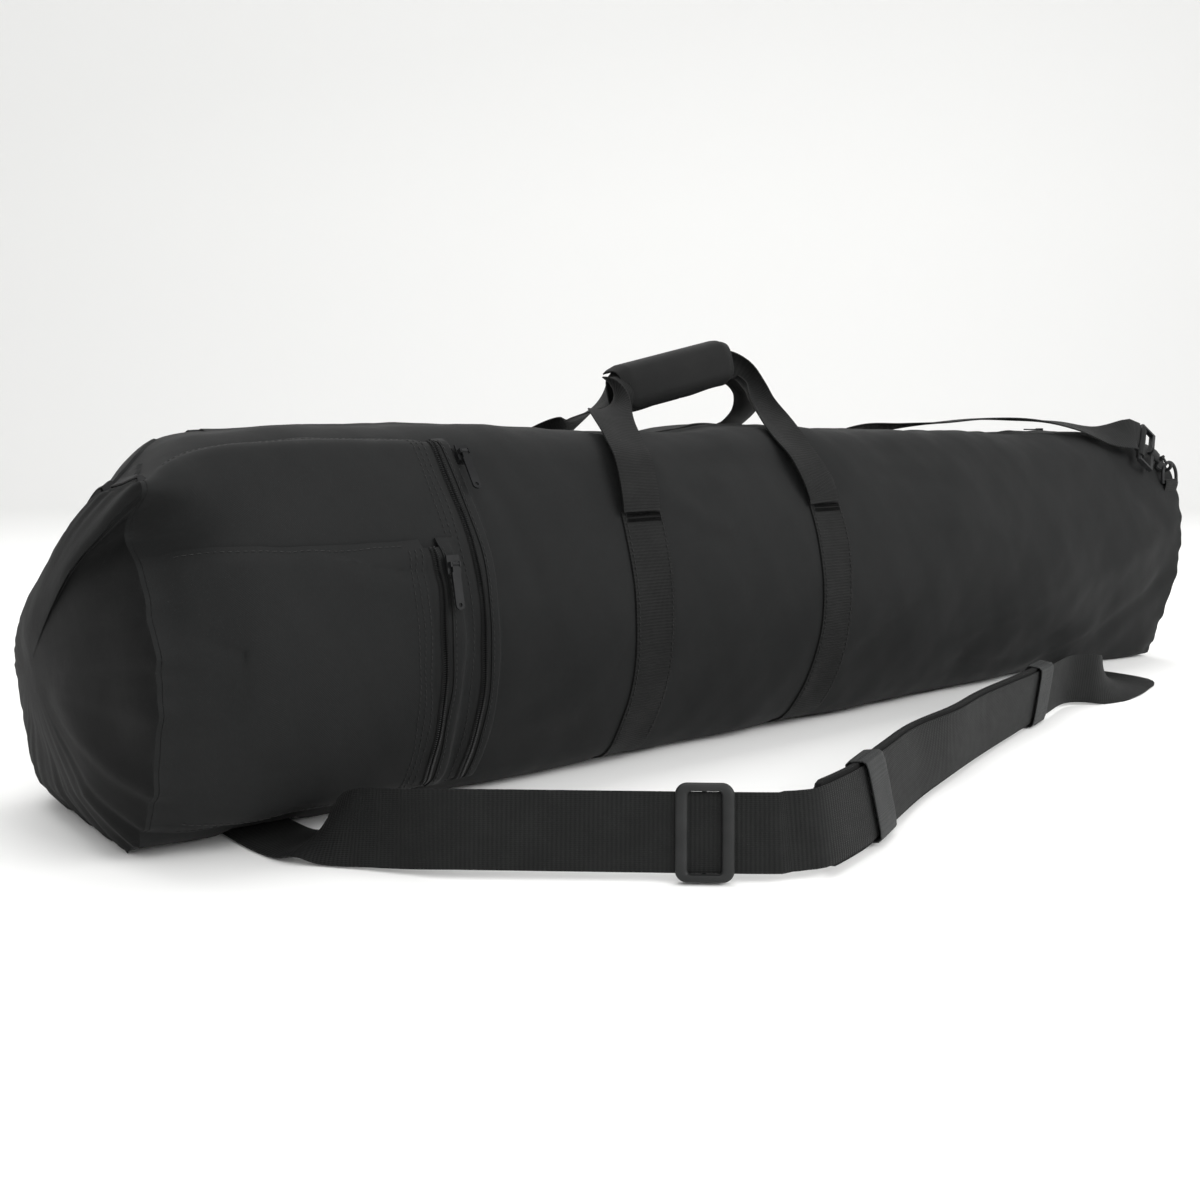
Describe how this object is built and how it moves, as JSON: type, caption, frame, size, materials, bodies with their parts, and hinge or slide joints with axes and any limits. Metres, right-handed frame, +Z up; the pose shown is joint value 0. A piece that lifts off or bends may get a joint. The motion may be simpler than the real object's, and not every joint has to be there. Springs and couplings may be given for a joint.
{
  "type": "long carry bag",
  "caption": "Long soft zipped carry bag with a pocketed big end, padded twin handles and a detachable shoulder strap with pad and adjuster.",
  "frame": {"origin": "middle of the bag's flat underside, on the floor", "axes": "+X along the bag from the pocketed big end to the small end, +Z up, the pockets face -Y"},
  "size_m": [1.198, 0.647, 0.3332],
  "materials": {
    "bag_fabric": "matt coated plain-weave nylon",
    "lining": "plain seam tape",
    "handle_webbing": "ribbed webbing",
    "strap_webbing": "ribbed webbing",
    "keeper_webbing": "smooth grey webbing",
    "zip_tape": "woven tape",
    "zip_coil": "satin nylon coil",
    "zip_metal": "black enamel",
    "hook_metal": "black enamel",
    "adjuster_plastic": "moulded satin"
  },
  "bodies": {
    "bag": {"front_lower_panel": "bag_fabric", "front_panel": "bag_fabric", "front_upper_panel": "bag_fabric", "back_lower_panel": "bag_fabric", "back_panel": "bag_fabric", "back_upper_panel": "bag_fabric", "bottom_panel": "bag_fabric", "big_end_panel": "bag_fabric", "small_end_panel": "bag_fabric", "big_end_top_strip": "bag_fabric", "small_end_top_strip": "bag_fabric", "big_end_seam_binding": "lining", "small_end_seam_binding": "lining", "main_zip_ends": "zip_tape", "large_pocket_panel": "bag_fabric", "large_pocket_gusset": "bag_fabric", "large_pocket_zip_tapes": "zip_tape", "large_pocket_zip_coils": "zip_coil", "small_pocket_panel": "bag_fabric", "small_pocket_gusset": "bag_fabric", "small_pocket_zip_tapes": "zip_tape", "small_pocket_zip_coils": "zip_coil", "left_webbing_band": "handle_webbing", "right_webbing_band": "handle_webbing", "front_bar_tacks": "handle_webbing", "back_bar_tacks": "handle_webbing", "strap_top_run": "strap_webbing", "strap_rear_run": "strap_webbing", "strap_floor_run": "strap_webbing", "strap_under_run": "strap_webbing", "shoulder_pad": "bag_fabric", "pad_keeper_left": "keeper_webbing", "pad_keeper_right": "keeper_webbing", "small_end_ring_tab": "handle_webbing", "small_end_hook_loop": "hook_metal", "big_end_ring_tab": "handle_webbing", "big_end_hook_loop": "hook_metal"},
    "front_flap": {"front_top_flap": "bag_fabric", "front_zip_tape": "zip_tape", "front_zip_coil": "zip_coil"},
    "rear_flap": {"rear_top_flap": "bag_fabric", "rear_zip_tape": "zip_tape", "rear_zip_coil": "zip_coil"},
    "main_zip_slider": {"main_slider": "zip_metal"},
    "main_zip_pull": {"main_pull": "zip_metal"},
    "large_zip_slider": {"large_pocket_slider": "zip_metal"},
    "large_zip_pull": {"large_pocket_pull": "zip_metal"},
    "small_zip_slider": {"small_pocket_slider": "zip_metal"},
    "small_zip_pull": {"small_pocket_pull": "zip_metal"},
    "front_carry_handle": {"front_handle": "handle_webbing", "handle_wrap": "bag_fabric"},
    "back_carry_handle": {"back_handle": "handle_webbing"},
    "adjuster": {"strap_adjuster": "adjuster_plastic"},
    "small_end_ring": {"small_end_d_ring": "hook_metal"},
    "small_end_snap_hook": {"small_end_hook": "hook_metal"},
    "small_end_gate": {"small_end_hook_gate": "hook_metal"},
    "big_end_ring": {"big_end_d_ring": "hook_metal"},
    "big_end_snap_hook": {"big_end_hook": "hook_metal"},
    "big_end_gate": {"big_end_hook_gate": "hook_metal"}
  },
  "joints": [
    {"name": "main_zip_travel", "type": "slide", "parent": "bag", "child": "main_zip_slider", "axis": [1, 0, 0], "range_m": [-0.962, 0]},
    {"name": "main_pull_flip", "type": "hinge", "parent": "main_zip_slider", "child": "main_zip_pull", "pos_m": [0.482, 0, 0.25915], "axis": [0, 1, 0], "range_deg": [0, 150]},
    {"name": "large_pocket_zip_travel", "type": "hinge", "parent": "bag", "child": "large_zip_slider", "pos_m": [-0.358, 0.065, 0.128], "axis": [1, 0, 0], "range_deg": [0, 66]},
    {"name": "large_pocket_pull_flip", "type": "hinge", "parent": "large_zip_slider", "child": "large_zip_pull", "pos_m": [-0.358, -0.10446, 0.2423], "axis": [-1, 0, 0], "range_deg": [0, 150]},
    {"name": "small_pocket_zip_travel", "type": "hinge", "parent": "bag", "child": "small_zip_slider", "pos_m": [-0.391, 0.065, 0.128], "axis": [1, 0, 0], "range_deg": [0, 42]},
    {"name": "small_pocket_pull_flip", "type": "hinge", "parent": "small_zip_slider", "child": "small_zip_pull", "pos_m": [-0.391, -0.14374, 0.17237], "axis": [-1, 0, 0], "range_deg": [0, 150]},
    {"name": "front_handle_fold", "type": "hinge", "parent": "bag", "child": "front_carry_handle", "pos_m": [-0.107, -0.1127, 0.2], "axis": [1, 0, 0], "range_deg": [0, 140], "deforming": ["handle_wrap"]},
    {"name": "back_handle_fold", "type": "hinge", "parent": "bag", "child": "back_carry_handle", "pos_m": [-0.107, 0.1127, 0.2], "axis": [-1, 0, 0], "range_deg": [0, 140], "deforming": ["handle_wrap"]},
    {"name": "front_flap_open", "type": "hinge", "parent": "bag", "child": "front_flap", "pos_m": [-0.125, -0.0511, 0.256], "axis": [1, 0, 0], "range_deg": [0, 84]},
    {"name": "rear_flap_open", "type": "hinge", "parent": "bag", "child": "rear_flap", "pos_m": [-0.125, 0.0511, 0.256], "axis": [-1, 0, 0], "range_deg": [0, 84]},
    {"name": "adjuster_travel", "type": "slide", "parent": "bag", "child": "adjuster", "axis": [-0.7549, 0.6559, 0], "range_m": [-0.01, 0.09]},
    {"name": "small_end_ring_swing", "type": "hinge", "parent": "bag", "child": "small_end_ring", "pos_m": [0.559, -0.116, 0.201], "axis": [1, 0, 0], "range_deg": [-5, 4]},
    {"name": "small_end_hook_swivel", "type": "hinge", "parent": "bag", "child": "small_end_snap_hook", "pos_m": [0.5473, -0.11399, 0.21947], "axis": [-0.7265, 0.2906, 0.6227], "range_deg": [-15, 15]},
    {"name": "small_end_gate_press", "type": "hinge", "parent": "small_end_snap_hook", "child": "small_end_gate", "pos_m": [0.54063, -0.11653, 0.22797], "axis": [-0.6866, -0.3425, -0.6413], "range_deg": [-19, 0], "stiffness_Nm_per_rad": 0.01, "springref_deg": 20.05},
    {"name": "big_end_ring_swing", "type": "hinge", "parent": "bag", "child": "big_end_ring", "pos_m": [-0.489, 0.116, 0.204], "axis": [1, 0, 0], "range_deg": [-5, 4]},
    {"name": "big_end_hook_swivel", "type": "hinge", "parent": "bag", "child": "big_end_snap_hook", "pos_m": [-0.489, 0.12762, 0.18372], "axis": [0, 0.12, -0.9928], "range_deg": [-15, 15]},
    {"name": "big_end_gate_press", "type": "hinge", "parent": "big_end_snap_hook", "child": "big_end_gate", "pos_m": [-0.489, 0.13461, 0.1751], "axis": [-1, 0, 0], "range_deg": [-19, 0], "stiffness_Nm_per_rad": 0.01, "springref_deg": 20.05}
  ],
  "couplings": [
    {"joint": "front_flap_open", "follows": "front_handle_fold", "ratio": 0.6},
    {"joint": "rear_flap_open", "follows": "back_handle_fold", "ratio": 0.6}
  ]
}
